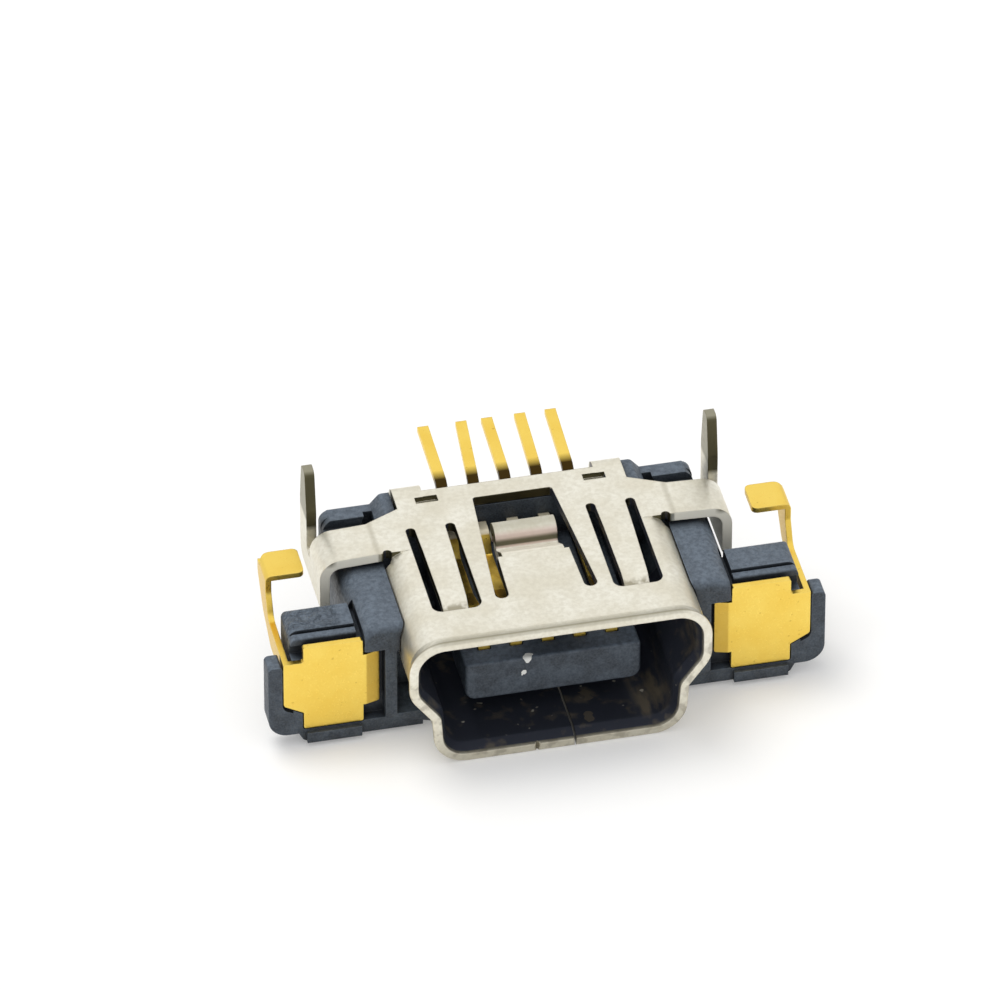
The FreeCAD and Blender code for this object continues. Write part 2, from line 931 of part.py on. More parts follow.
def main():
    """Build every piece of the socket and write it to parts."""
    os.makedirs("parts", exist_ok=True)
    contacts = [signal_contact(x, sway) for x, sway in zip(contact_places(), lead_sway)]
    save("shield_shell", shield_shell())
    save("housing", housing().cut(contacts))
    for number, contact in enumerate(contacts, 1):
        save("signal_contact_%d" % number, contact)
    right = power_contact()
    save("power_contact_right", right)
    save("power_contact_left", mirrored(right))


main()
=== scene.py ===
"""Finishes, studio and camera for a miniature board socket with a plated shell and gold contacts."""
import math

import bpy
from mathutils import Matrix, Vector


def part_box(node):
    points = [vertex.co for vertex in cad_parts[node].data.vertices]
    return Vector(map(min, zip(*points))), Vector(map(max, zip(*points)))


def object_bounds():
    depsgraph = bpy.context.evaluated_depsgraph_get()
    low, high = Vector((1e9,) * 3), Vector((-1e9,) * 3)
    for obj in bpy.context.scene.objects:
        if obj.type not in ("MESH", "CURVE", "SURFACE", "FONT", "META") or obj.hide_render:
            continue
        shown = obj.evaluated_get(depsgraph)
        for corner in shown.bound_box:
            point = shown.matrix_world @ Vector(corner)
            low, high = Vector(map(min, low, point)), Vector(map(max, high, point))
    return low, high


bl_info = {
    "name": "Miniature Socket Finishes",
    "version": (1, 1, 0),
    "blender": (4, 5, 0),
    "location": "View3D > Sidebar > Socket",
    "description": "Finishes, stage and camera for a miniature board socket",
    "category": "Object",
}

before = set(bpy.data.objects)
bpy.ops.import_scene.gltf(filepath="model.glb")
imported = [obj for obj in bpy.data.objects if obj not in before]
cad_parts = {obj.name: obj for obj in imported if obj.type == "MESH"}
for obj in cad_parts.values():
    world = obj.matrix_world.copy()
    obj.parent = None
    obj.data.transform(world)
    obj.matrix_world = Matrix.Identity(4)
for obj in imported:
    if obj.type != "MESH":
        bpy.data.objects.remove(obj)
low_corner, high_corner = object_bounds()

MOULDING_NODES = ("housing",)
SHELL_NODES = ("shield_shell",)
CONTACT_NODES = tuple(sorted(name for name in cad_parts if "contact" in name))

MM = 0.001

# Measures of the part in millimetres: its front, the moulding's back, the board side, the plug
# opening's half width, middle height and floor, and the blade's front
MOUTH_Y = low_corner.y / MM
LEADS_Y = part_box("housing")[1].y / MM
TOP_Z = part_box("power_contact_left")[1].z / MM
MOUTH_HALF = 3.45
MOUTH_MIDDLE = 1.9
MOUTH_FLOOR = 0.25
BLADE_FRONT = MOUTH_Y + 0.9

# The photograph's side and the part's middle in it, in pixels
PHOTO_SIDE = 990
PART_PIXEL = (524.0, 562.0)

# Levels of the tent that metal mirrors: at the horizon, and from the given height upwards
MIRRORED_LOW = 0.76
MIRRORED_HIGH = 1.03
MIRRORED_TOP = 0.6

# The way from the part to the lamp, half the floor's side and the camera's far limit in metres, and the
# camera's sensor in millimetres
LAMP_WAY = Vector((-0.3, 0.3, 1.0)).normalized()
FLOOR_HALF = 600 * MM
FAR_LIMIT = 20.0
SENSOR_WIDTH = 36.0

WHITE = (1.0, 1.0, 1.0, 1.0)
FRONTWARD = (0.0, -1.0, 0.0)
UPWARD = (0.0, 0.0, 1.0)

# Places for paint that keeps to one spot, in millimetres on the frame's axes; side is x counted from the
# middle to both sides
# painted shade: a dark line along the lip's rim
LIP_RIM_SHADE = {"y": (MOUTH_Y + 0.06, MOUTH_Y + 0.09)}
LIP_FACE = {"y": (MOUTH_Y - 0.1, MOUTH_Y + 0.1), "z": (-0.1, 2.6)}
# painted shade: the lip's foot, darkened as a painted reflection of the shaded floor
SHADED_LOW_LIP = {"y": (MOUTH_Y - 0.1, MOUTH_Y + 0.4), "z": (-0.1, 0.25)}
SEAM_WALLS = {"x": (0.25, 1.0), "y": (MOUTH_Y + 0.12, LEADS_Y), "z": (-0.1, 0.5)}
SHELL_INSIDE = {"side": (0.0, MOUTH_HALF + 0.1), "y": (MOUTH_Y + 0.1, LEADS_Y)}
SLOT_WALLS = {"side": (0.0, 3.0), "y": (MOUTH_Y + 1.2, LEADS_Y), "z": (TOP_Z - 0.26, TOP_Z + 0.2)}
# painted shade on the spring tips, where they curl down
SHADED_SPRING_TIPS = {"side": (1.9, 2.65), "y": (MOUTH_Y + 1.5, MOUTH_Y + 1.72), "z": (TOP_Z - 0.9, TOP_Z + 0.1)}
TONGUE_CURL = {"side": (0.0, 1.0), "y": (MOUTH_Y + 3.25, MOUTH_Y + 4.6), "z": (TOP_Z - 0.7, TOP_Z + 0.3)}
# painted shade in the relief holes
RELIEF_HOLES = {"side": (3.2, 3.62), "y": (MOUTH_Y + 3.55, MOUTH_Y + 4.05), "z": (TOP_Z - 0.9, TOP_Z + 0.1)}
# painted shade along the arms' creases
SHADED_ARM_CREASES = {"side": (3.7, 3.74), "z": (TOP_Z - 0.12, TOP_Z + 0.1)}
# painted highlight on the arms' cut fronts
ARM_EDGE_HIGHLIGHTS = {"side": (3.75, 5.3), "y": (MOUTH_Y + 3.6, MOUTH_Y + 4.2), "z": (2.0, TOP_Z + 0.1)}
# painted shade on the legs
SHADED_LEGS = {"z": (TOP_Z + 0.15, TOP_Z + 2.0)}
LEG_EDGES = {"side": (4.9, 5.3), "z": (TOP_Z - 0.1, TOP_Z + 2.0)}
LEFT_WING_TOP = {"x": (-6.6, -5.2), "y": (MOUTH_Y + 2.2, MOUTH_Y + 3.0), "z": (2.9, 3.3)}
WINGS = {"side": (4.0, 7.0)}
# painted shade on the plates' inner ears
SHADED_INNER_EARS = {"side": (4.1, 4.53)}
CONTACT_TIPS = {"side": (0.0, 2.2), "y": (MOUTH_Y + 1.3, MOUTH_Y + 1.9)}
CONTACT_BEAMS = {"side": (0.0, 2.2), "y": (MOUTH_Y + 2.1, LEADS_Y - 0.6)}
CONTACT_KNEES = {"side": (0.0, 2.2), "y": (MOUTH_Y + 5.0, MOUTH_Y + 5.6), "z": (2.84, 3.1)}
# painted shade at the leads' roots
SHADED_LEAD_ROOTS = {"y": (LEADS_Y - 0.6, LEADS_Y + 0.08)}
# streaks of painted reflection inside the mouth
MOUTH_REFLECTION_STREAKS = ({"x": (2.2, 2.7), "y": (MOUTH_Y + 0.5, MOUTH_Y + 1.8), "z": (-0.1, 0.8)},
                {"x": (3.1, 3.5), "y": (MOUTH_Y + 0.4, MOUTH_Y + 1.2), "z": (2.2, 3.0)})

# Single spots, each a place and a radius in millimetres
MOUTH_SPECKS = ((1.77, MOUTH_Y + 0.97, MOUTH_FLOOR, 0.07), (0.4, MOUTH_Y + 1.4, MOUTH_FLOOR, 0.06))
# patches of painted reflection on the mouth's floor
MOUTH_REFLECTION_BLOTS = ((0.94, MOUTH_Y + 1.5, MOUTH_FLOOR, 0.2), (0.82, MOUTH_Y + 0.63, MOUTH_FLOOR, 0.17))
BLADE_SPECKS = ((-0.62, BLADE_FRONT, 2.26, 0.13), (-0.72, BLADE_FRONT, 1.8, 0.08))


def linear(text):
    """A hex sRGB colour as linear red, green, blue and alpha."""
    values = [int(text.lstrip("#")[i:i + 2], 16) / 255 for i in (0, 2, 4)]
    bent = [v / 12.92 if v <= 0.04045 else ((v + 0.055) / 1.055) ** 2.4 for v in values]
    return (*bent, 1.0)


def add(tree, kind, inputs=None, **settings):
    """Add a node with its settings; its inputs are sockets to link from or values to set."""
    node = tree.nodes.new(kind)
    for key, value in settings.items():
        setattr(node, key, value)
    for key, value in (inputs or {}).items():
        if isinstance(value, bpy.types.NodeSocket):
            tree.links.new(value, node.inputs[key])
        else:
            node.inputs[key].default_value = value
    return node


def blank_material(name, **constants):
    """A material with only its shader, on which the given constants are set, and its output."""
    material = bpy.data.materials.new(name)
    material.use_nodes = True
    tree = material.node_tree
    tree.nodes.clear()
    values = {key.replace("_", " "): value for key, value in constants.items()}
    shader = add(tree, "ShaderNodeBsdfPrincipled", values)
    add(tree, "ShaderNodeOutputMaterial", {"Surface": shader.outputs[0]})
    return material, tree, shader


def millimetres(tree, stretch=(1.0, 1.0, 1.0)):
    """Place on the part in millimetres, with a pattern's stretch along each axis."""
    place = add(tree, "ShaderNodeTexCoord")
    scale = [1.0 / (MM * s) for s in stretch]
    return add(tree, "ShaderNodeMapping", {"Vector": place.outputs["Object"], "Scale": scale}).outputs[0]


def patches(tree, place, size, low, high, detail=3.0):
    """Blotches of about the given size in millimetres, rising from 0 to 1 between two levels of a noise."""
    noise = add(tree, "ShaderNodeTexNoise", {"Vector": place, "Scale": 1.0 / size, "Detail": detail})
    ramp = {"Value": noise.outputs["Fac"], "From Min": low, "From Max": high}
    return add(tree, "ShaderNodeMapRange", ramp).outputs[0]


def painted(tree, base, layers):
    """Colour made of a base and layers laid on it, each a share and a colour."""
    for share, colour in layers:
        mix = {0: share, 6: base, 7: colour}
        base = add(tree, "ShaderNodeMix", mix, data_type="RGBA").outputs[2]
    return base


def product(tree, factors):
    """All the given shares multiplied together."""
    whole = factors[0]
    for factor in factors[1:]:
        whole = add(tree, "ShaderNodeMath", {0: whole, 1: factor}, operation="MULTIPLY").outputs[0]
    return whole


def zone(tree, place, fade, strength=1.0):
    """A strength inside a place's ranges in millimetres, falling to zero over a fade outside them.

    A range along side counts from the middle plane, and so holds on both sides of it.
    """
    axes = add(tree, "ShaderNodeSeparateXYZ", {0: millimetres(tree)})
    side = add(tree, "ShaderNodeMath", {0: axes.outputs[0]}, operation="ABSOLUTE").outputs[0]
    values = {"x": axes.outputs[0], "side": side, "y": axes.outputs[1], "z": axes.outputs[2]}
    factors = []
    for axis, (low, high) in place.items():
        middle = (low + high) / 2
        half = (high - low) / 2
        offset = add(tree, "ShaderNodeMath", {0: values[axis], 1: middle}, operation="SUBTRACT").outputs[0]
        away = add(tree, "ShaderNodeMath", {0: offset}, operation="ABSOLUTE").outputs[0]
        ramp = {"Value": away, "From Min": half, "From Max": half + fade, "To Min": 1.0, "To Max": 0.0}
        factors.append(add(tree, "ShaderNodeMapRange", ramp).outputs[0])
    return product(tree, factors + [strength])


def fleck(tree, spot):
    """One on an uneven spot, given as its place and about its radius, all in millimetres."""
    *middle, radius = spot
    place = millimetres(tree)
    away = add(tree, "ShaderNodeVectorMath", {0: place, 1: middle}, operation="DISTANCE").outputs["Value"]
    outline = patches(tree, place, size=radius * 1.5, low=0.35, high=0.65, detail=1.0)
    reach = {"Value": outline, "To Min": radius * 0.6, "To Max": radius * 1.4}
    limit = add(tree, "ShaderNodeMapRange", reach).outputs[0]
    return add(tree, "ShaderNodeMath", {0: away, 1: limit}, operation="LESS_THAN").outputs[0]


def facing(tree, axis, first, last):
    """Zero to one as the cosine of the surface's angle to an axis goes from the first to the last value."""
    normal = add(tree, "ShaderNodeNewGeometry").outputs["Normal"]
    share = add(tree, "ShaderNodeVectorMath", {0: normal, 1: axis}, operation="DOT_PRODUCT").outputs["Value"]
    ramp = {"Value": share, "From Min": first, "From Max": last}
    return add(tree, "ShaderNodeMapRange", ramp).outputs[0]


def either(tree, factors):
    """The largest of the given shares."""
    whole = factors[0]
    for factor in factors[1:]:
        whole = add(tree, "ShaderNodeMath", {0: whole, 1: factor}, operation="MAXIMUM").outputs[0]
    return whole


def cut_face(tree):
    """One where the surface stands upright, as the sheared faces of flat sheet do."""
    normal = add(tree, "ShaderNodeNewGeometry").outputs["Normal"]
    height = add(tree, "ShaderNodeSeparateXYZ", {0: normal}).outputs[2]
    slope = add(tree, "ShaderNodeMath", {0: height}, operation="ABSOLUTE").outputs[0]
    ramp = {"Value": slope, "From Min": 0.2, "From Max": 0.45, "To Min": 1.0, "To Max": 0.0}
    return add(tree, "ShaderNodeMapRange", ramp).outputs[0]


def turned_inward(tree):
    """One where the surface faces the middle line of the plug opening."""
    from_line = {0: millimetres(tree), 1: (0.0, 0.0, MOUTH_MIDDLE)}
    place = add(tree, "ShaderNodeVectorMath", from_line, operation="SUBTRACT").outputs[0]
    across = {0: place, 1: (1.0, 0.0, 1.0)}
    radial = add(tree, "ShaderNodeVectorMath", across, operation="MULTIPLY").outputs[0]
    normal = add(tree, "ShaderNodeNewGeometry").outputs["Normal"]
    dot = add(tree, "ShaderNodeVectorMath", {0: radial, 1: normal}, operation="DOT_PRODUCT").outputs["Value"]
    ramp = {"Value": dot, "From Min": -0.6, "From Max": -0.2, "To Min": 1.0, "To Max": 0.0}
    return add(tree, "ShaderNodeMapRange", ramp).outputs[0]


def edge_band(tree, radius):
    """One on sharp edges, falling to zero over a radius in millimetres."""
    round_normal = add(tree, "ShaderNodeBevel", {"Radius": radius * MM}, samples=6).outputs[0]
    flat_normal = add(tree, "ShaderNodeNewGeometry").outputs["Normal"]
    dot = add(tree, "ShaderNodeVectorMath", {0: round_normal, 1: flat_normal}, operation="DOT_PRODUCT")
    ramp = {"Value": dot.outputs["Value"], "From Min": 0.8, "From Max": 0.99, "To Min": 1.0, "To Max": 0.0}
    return add(tree, "ShaderNodeMapRange", ramp).outputs[0]


def crevices(tree, reach):
    """Zero to one as surfaces within a reach in millimetres close in on a place."""
    open_share = add(tree, "ShaderNodeAmbientOcclusion", {"Distance": reach * MM}, samples=6).outputs["AO"]
    ramp = {"Value": open_share, "From Min": 0.45, "From Max": 0.95, "To Min": 1.0, "To Max": 0.0}
    return add(tree, "ShaderNodeMapRange", ramp).outputs[0]


def relief(tree, shader, heights, edge):
    """Bumps, each a height, a strength and a depth, over edges softened by a radius, in millimetres."""
    normal = add(tree, "ShaderNodeBevel", {"Radius": edge * MM}, samples=6).outputs[0]
    for height, strength, depth in heights:
        bump = {"Height": height, "Strength": strength, "Distance": depth * MM, "Normal": normal}
        normal = add(tree, "ShaderNodeBump", bump).outputs[0]
    tree.links.new(normal, shader.inputs["Normal"])


def between(tree, shader, name, share, first, last):
    """One of the shader's values, going from the first to the last as a share goes from 0 to 1."""
    ramp = add(tree, "ShaderNodeMapRange", {"Value": share, "To Min": first, "To Max": last})
    tree.links.new(ramp.outputs[0], shader.inputs[name])


def paint(nodes, material):
    """Give CAD nodes a finish in place of the plain one that they were packed with."""
    for name in nodes:
        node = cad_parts[name]
        if not node.material_slots:
            node.data.materials.append(material)
        for entry in node.material_slots:
            entry.material = material


def lip_layers(tree, flat, values):
    """Paint of the flared lip: a line of painted shade along its rim, a foot darkened by a painted reflection
    of the shaded floor, and stains on its face.
    """
    blotches = patches(tree, flat, size=0.3, low=0.5, high=0.62, detail=4.0)
    stained = product(tree, [blotches, zone(tree, LIP_FACE, fade=0.1, strength=0.4)])
    return [
        # painted shade along the rim, and a painted reflection of the shaded floor on the foot
        (zone(tree, LIP_RIM_SHADE, fade=0.03, strength=0.7), linear(values.edge_hex)),
        (zone(tree, SHADED_LOW_LIP, fade=0.9, strength=0.5), linear(values.edge_hex)),
        (stained, linear(values.stain_and_reflection_hex)),
    ]


def fold_layers(tree, flat, curl, values):
    """Paint of the folds: painted shade along the arms' creases, a pinkish painted reflection on the front of
    the tongue's curl, and painted shade on the tips of the springs.
    """
    # painted reflection on the front of the tongue's curl; mottled painted shade on the spring tips
    curl_reflection = product(tree, [facing(tree, FRONTWARD, first=0.45, last=0.8), curl, 0.75])
    tip_mottle = patches(tree, flat, size=0.22, low=0.35, high=0.55)
    shaded_spring_tips = product(tree, [zone(tree, SHADED_SPRING_TIPS, fade=0.12, strength=0.9), tip_mottle])
    return [
        # painted shade on the creases and spring tips, painted reflection on the curl
        (zone(tree, SHADED_ARM_CREASES, fade=0.08, strength=0.35), linear(values.edge_hex)),
        (curl_reflection, linear(values.curl_reflection_hex)),
        (shaded_spring_tips, linear(values.edge_hex)),
    ]


def sheared_layers(tree, cut, arm_edge_highlights, values):
    """Paint of the sheet's cut faces: a painted highlight on the arms' fronts, bare steel with painted shade
    in the slots, holes and legs' front edges, and painted shade on the legs.
    """
    # bare cut steel in the slots and holes, darkened further as painted shade
    slots = product(tree, [cut, zone(tree, SLOT_WALLS, fade=0.05)])
    holes = product(tree, [cut, zone(tree, RELIEF_HOLES, fade=0.05)])
    legs_front = facing(tree, FRONTWARD, first=0.4, last=0.9)
    leg_edges = product(tree, [legs_front, zone(tree, LEG_EDGES, fade=0.15)])
    return [
        # painted highlight on the arms' cut fronts; painted shade on the legs and their front edges
        (arm_edge_highlights, linear(values.bright_hex)),
        (either(tree, [slots, holes]), linear(values.sheared_and_shade_hex)),
        (zone(tree, SHADED_LEGS, fade=0.15, strength=0.85), linear(values.leg_shade_hex)),
        (leg_edges, linear(values.sheared_and_shade_hex)),
    ]


def mouth_layers(tree, flat, inside, seam, values):
    """Paint of the shell's inside: painted shade over it, cloudy stains, streaks and patches of painted
    reflection, dust, and the grime in the seam.
    """
    cloudy = patches(tree, flat, size=0.5, low=0.56, high=0.68, detail=5.0)
    lengthwise = millimetres(tree, stretch=(1.0, 3.0, 1.0))
    streaks = patches(tree, lengthwise, size=0.25, low=0.4, high=0.6)
    # streaks and patches of painted reflection on the inside walls and floor
    reflection_places = either(tree, [zone(tree, smear, fade=0.25) for smear in MOUTH_REFLECTION_STREAKS])
    reflection_streaks = product(tree, [reflection_places, inside, streaks])
    reflection_blots = product(tree, [either(tree, [fleck(tree, blot) for blot in MOUTH_REFLECTION_BLOTS]), 0.7])
    grains = patches(tree, flat, size=0.24, low=0.74, high=0.8, detail=1.0)
    dust = [product(tree, [grains, inside, 0.7])] + [fleck(tree, speck) for speck in MOUTH_SPECKS]
    return [
        # painted shade over the whole inside
        (inside, linear(values.inside_shade_hex)),
        (product(tree, [cloudy, inside, 0.6]), linear(values.stain_and_reflection_hex)),
        (either(tree, [reflection_streaks, reflection_blots]), linear(values.stain_and_reflection_hex)),
        (either(tree, dust), linear(values.warm_hex)),
        (seam, linear(values.seam_hex)),
    ]


def nickel_plated_steel(values):
    """Nickel over rolled steel strip: satin and warm, faintly cloudy, with dull brown sheared faces; painted
    shade and reflections on its lip, folds, slots, legs and inside, and a painted highlight on the arms' cut
    fronts.
    """
    material, tree, shader = blank_material("nickel_plated_rolled_steel")
    flat = millimetres(tree)
    edge_width = values.edge_width / MM
    cloud = patches(tree, flat, size=values.cloud_size / MM, low=0.35, high=0.65)
    # the plating's mottle and the rolling lines are finer on the real strip, and are drawn coarse enough
    # to show
    mottle = patches(tree, flat, size=values.mottle_size / MM, low=0.35, high=0.65)
    rolled = millimetres(tree, stretch=(0.35, 4.0, 1.0))
    lines = patches(tree, rolled, size=values.roll_spacing / MM, low=0.25, high=0.75, detail=4.0)
    cut = cut_face(tree)
    sharp_edges = edge_band(tree, edge_width)
    curl = zone(tree, TONGUE_CURL, fade=0.05)
    inside = product(tree, [turned_inward(tree), zone(tree, SHELL_INSIDE, fade=0.05)])
    seam = product(tree, [either(tree, [cut, sharp_edges]), zone(tree, SEAM_WALLS, fade=0.05)])
    # painted highlight: the arms' cut fronts are painted bright and matt
    arms_front = facing(tree, FRONTWARD, first=0.3, last=0.7)
    arm_edge_highlights = product(tree, [cut, arms_front, zone(tree, ARM_EDGE_HIGHLIGHTS, fade=0.05)])
    layers = [
        (cloud, linear(values.warm_hex)),
        (product(tree, [mottle, 0.45]), linear(values.mottle_hex)),
        # darker along the sheet's edges
        (product(tree, [sharp_edges, 0.3]), linear(values.edge_hex)),
    ]
    layers += lip_layers(tree, flat, values)
    layers += fold_layers(tree, flat, curl, values)
    layers += sheared_layers(tree, cut, arm_edge_highlights, values)
    layers += mouth_layers(tree, flat, inside, seam, values)
    tone = painted(tree, linear(values.bright_hex), layers)
    tree.links.new(tone, shader.inputs["Base Color"])
    # where the plating is stained, grey or gone, and where painted shade (the inside), a painted highlight
    # (the arms' cut fronts) or a painted reflection (the tongue's curl) stands in the colour, the surface no
    # longer shines as metal
    dull = either(tree, [product(tree, [inside, 0.5]), arm_edge_highlights, seam, product(tree, [curl, 0.75])])
    between(tree, shader, "Roughness", lines, first=values.roughness - 0.05, last=values.roughness + 0.07)
    between(tree, shader, "Metallic", dull, first=0.94, last=0.0)
    relief(tree, shader, [(lines, 0.25, 0.004), (mottle, 0.15, 0.003)], edge=edge_width)
    return material


def moulded_polymer(values):
    """Glass-filled liquid crystal polymer, injection moulded: slate, grainy, paler along its edges, with
    painted light and sheen on its tops and painted shade in its corners.
    """
    material, tree, shader = blank_material("moulded_liquid_crystal_polymer", IOR=1.45)
    flat = millimetres(tree)
    grain_size = values.grain_size / MM
    drawn_out = millimetres(tree, stretch=(1.0, 1.8, 1.0))
    flow = patches(tree, drawn_out, size=values.flow_size / MM, low=0.4, high=0.62, detail=4.0)
    # both grains are finer than this on the real skin, and are drawn coarse enough to show
    pores = patches(tree, flat, size=grain_size, low=0.35, high=0.65)
    fibres = patches(tree, flat, size=grain_size * 0.4, low=0.3, high=0.7, detail=2.0)
    rumples = patches(tree, flat, size=0.24, low=0.35, high=0.7, detail=2.0)
    dents = product(tree, [rumples, zone(tree, LEFT_WING_TOP, fade=0.15)])
    # painted light: faces that look up are painted paler
    lit_tops = facing(tree, UPWARD, first=0.2, last=0.9)
    flecks = either(tree, [fleck(tree, speck) for speck in BLADE_SPECKS])
    tone = painted(tree, linear(values.dark_hex), [
        # flow marks everywhere, and painted sheen where they lie on the tops
        (product(tree, [flow, 0.35]), linear(values.flow_and_sheen_hex)),
        (product(tree, [lit_tops, 0.85]), linear(values.top_light_hex)),
        (product(tree, [flow, lit_tops, 0.55]), linear(values.flow_and_sheen_hex)),
        (product(tree, [pores, 0.5]), linear(values.deep_hex)),
        (product(tree, [fibres, 0.22]), linear(values.edge_hex)),
        (product(tree, [edge_band(tree, radius=0.05), 0.4]), linear(values.edge_hex)),
        # painted shade in corners and crevices, from ambient occlusion
        (product(tree, [crevices(tree, reach=0.35), 0.85]), linear(values.crevice_shade_hex)),
        (flecks, linear(values.fleck_hex)),
    ])
    tree.links.new(tone, shader.inputs["Base Color"])
    between(tree, shader, "Roughness", pores, first=values.roughness - 0.06, last=values.roughness + 0.1)
    relief(tree, shader, [(pores, 0.5, 0.012), (flow, 0.3, 0.03), (dents, 1.0, 0.14)], edge=0.04)
    return material


def gold_plated_strip(values):
    """Hard gold flashed over nickel on stamped bronze strip: deep yellow, satin, with painted shade at the
    leads' roots and on the inner ears, and painted glints on the knees.
    """
    material, tree, shader = blank_material("gold_plated_bronze_strip")
    flat = millimetres(tree)
    cloud = patches(tree, flat, size=values.cloud_size / MM, low=0.35, high=0.68)
    # the plating's grain is finer than this on the real strip, and is drawn coarse enough to show
    grain = patches(tree, flat, size=0.045, low=0.3, high=0.7)
    specks = patches(tree, flat, size=0.12, low=0.72, high=0.78, detail=1.0)
    # painted glints on the contacts' knees
    knees = zone(tree, CONTACT_KNEES, fade=0.04, strength=0.9)
    pale = either(tree, [zone(tree, CONTACT_TIPS, fade=0.1), knees])
    tarnish = patches(tree, flat, size=0.35, low=0.4, high=0.6)
    beams = product(tree, [tarnish, zone(tree, CONTACT_BEAMS, fade=0.1, strength=0.5)])
    sideways = [facing(tree, FRONTWARD, first=0.9, last=0.6), facing(tree, UPWARD, first=0.7, last=0.3)]
    sides = product(tree, sideways + [zone(tree, WINGS, fade=0.1, strength=0.35)])
    tone = painted(tree, linear(values.yellow_hex), [
        (product(tree, [cloud, 0.6]), linear(values.orange_hex)),
        (product(tree, [grain, 0.25]), linear(values.orange_hex)),
        (product(tree, [specks, 0.4]), linear(values.brown_and_shade_hex)),
        # painted shade: the inner ears darker, as if bent back from the light
        (zone(tree, SHADED_INNER_EARS, fade=0.03, strength=0.4), linear(values.brown_and_shade_hex)),
        (product(tree, [edge_band(tree, radius=0.05), 0.65]), linear(values.edge_hex)),
        (sides, linear(values.brown_and_shade_hex)),
        (beams, linear(values.brown_and_shade_hex)),
        (knees, linear(values.glint_hex)),
        # painted shade at the leads' roots
        (zone(tree, SHADED_LEAD_ROOTS, fade=0.3, strength=0.97), linear(values.root_shade_hex)),
    ])
    tree.links.new(tone, shader.inputs["Base Color"])
    between(tree, shader, "Roughness", grain, first=values.roughness - 0.05, last=values.roughness + 0.08)
    # the tips and the knees are dull, not like a mirror; the knees' pale colour is a painted glint
    between(tree, shader, "Metallic", pale, first=1.0, last=0.1)
    relief(tree, shader, [(grain, 0.2, 0.004)], edge=0.03)
    return material


def studio_paper(values):
    """Matt pale paper, with enough white added to what the eye and reflections see to make it white."""
    material = bpy.data.materials.new("studio_paper")
    material.use_nodes = True
    tree = material.node_tree
    tree.nodes.clear()
    rays = add(tree, "ShaderNodeLightPath")
    seen = either(tree, [rays.outputs["Is %s Ray" % kind] for kind in ("Camera", "Glossy", "Transmission")])
    glow = product(tree, [seen, values.floor_glow])
    matt = add(tree, "ShaderNodeBsdfDiffuse", {"Color": linear(values.floor_hex)})
    white = add(tree, "ShaderNodeEmission", {"Color": WHITE, "Strength": glow})
    both = add(tree, "ShaderNodeAddShader", {0: matt.outputs[0], 1: white.outputs[0]})
    add(tree, "ShaderNodeOutputMaterial", {"Surface": both.outputs[0]})
    return material


def studio_world(values):
    """Soft tent, brightest overhead and to the front: metal mirrors its own levels, the camera sees white."""
    world = bpy.data.worlds.new("studio_tent")
    world.use_nodes = True
    tree = world.node_tree
    tree.nodes.clear()
    rays = add(tree, "ShaderNodeLightPath")
    way = add(tree, "ShaderNodeTexCoord").outputs["Generated"]
    axes = add(tree, "ShaderNodeSeparateXYZ", {0: way})
    height = axes.outputs[2]
    front_level = {"Value": axes.outputs[1], "From Min": 0.0, "From Max": -1.0, "To Max": values.sky_front}
    front = add(tree, "ShaderNodeMapRange", front_level).outputs[0]
    soft_level = {"Value": height, "To Min": values.sky_low, "To Max": values.sky_high}
    soft = add(tree, "ShaderNodeMapRange", soft_level).outputs[0]
    soft = add(tree, "ShaderNodeMath", {0: soft, 1: front}, operation="ADD").outputs[0]
    mirrored_level = {"Value": height, "From Max": MIRRORED_TOP,
                      "To Min": MIRRORED_LOW, "To Max": MIRRORED_HIGH}
    mirrored = add(tree, "ShaderNodeMapRange", mirrored_level).outputs[0]
    shares = [(rays.outputs["Is Glossy Ray"], mirrored), (rays.outputs["Is Camera Ray"], WHITE)]
    sky = add(tree, "ShaderNodeBackground", {"Color": painted(tree, soft, shares), "Strength": 1.0})
    add(tree, "ShaderNodeOutputWorld", {"Surface": sky.outputs[0]})
    bpy.context.scene.world = world


def key_lamp(values):
    """Square soft lamp above, behind and to the left of the part, which metal doesn't mirror."""
    data = bpy.data.lights.new("key_lamp", "AREA")
    data.shape = "SQUARE"
    data.size = values.lamp_size
    # the power follows the distance squared, so that the level on the part stays when the lamp moves
    data.energy = values.key_level * math.pi ** 2 * values.lamp_distance ** 2
    data.color = linear(values.lamp_hex)[:3]
    lamp = bpy.data.objects.new("key_lamp", data)
    bpy.context.scene.collection.objects.link(lamp)
    lamp.location = (low_corner + high_corner) / 2 + LAMP_WAY * values.lamp_distance
    lamp.rotation_mode = "QUATERNION"
    lamp.rotation_quaternion = LAMP_WAY.to_track_quat("Z", "Y")
    lamp.visible_camera = False
    lamp.visible_glossy = False


def paper_floor(values):
    """Wide sheet of studio paper under the part."""
    mesh = bpy.data.meshes.new("floor")
    corners = [(-FLOOR_HALF, -FLOOR_HALF, 0.0), (FLOOR_HALF, -FLOOR_HALF, 0.0),
               (FLOOR_HALF, FLOOR_HALF, 0.0), (-FLOOR_HALF, FLOOR_HALF, 0.0)]
    mesh.from_pydata(corners, [], [(0, 1, 2, 3)])
    mesh.materials.append(studio_paper(values))
    floor = bpy.data.objects.new("floor", mesh)
    floor.location.z = low_corner.z
    bpy.context.scene.collection.objects.link(floor)


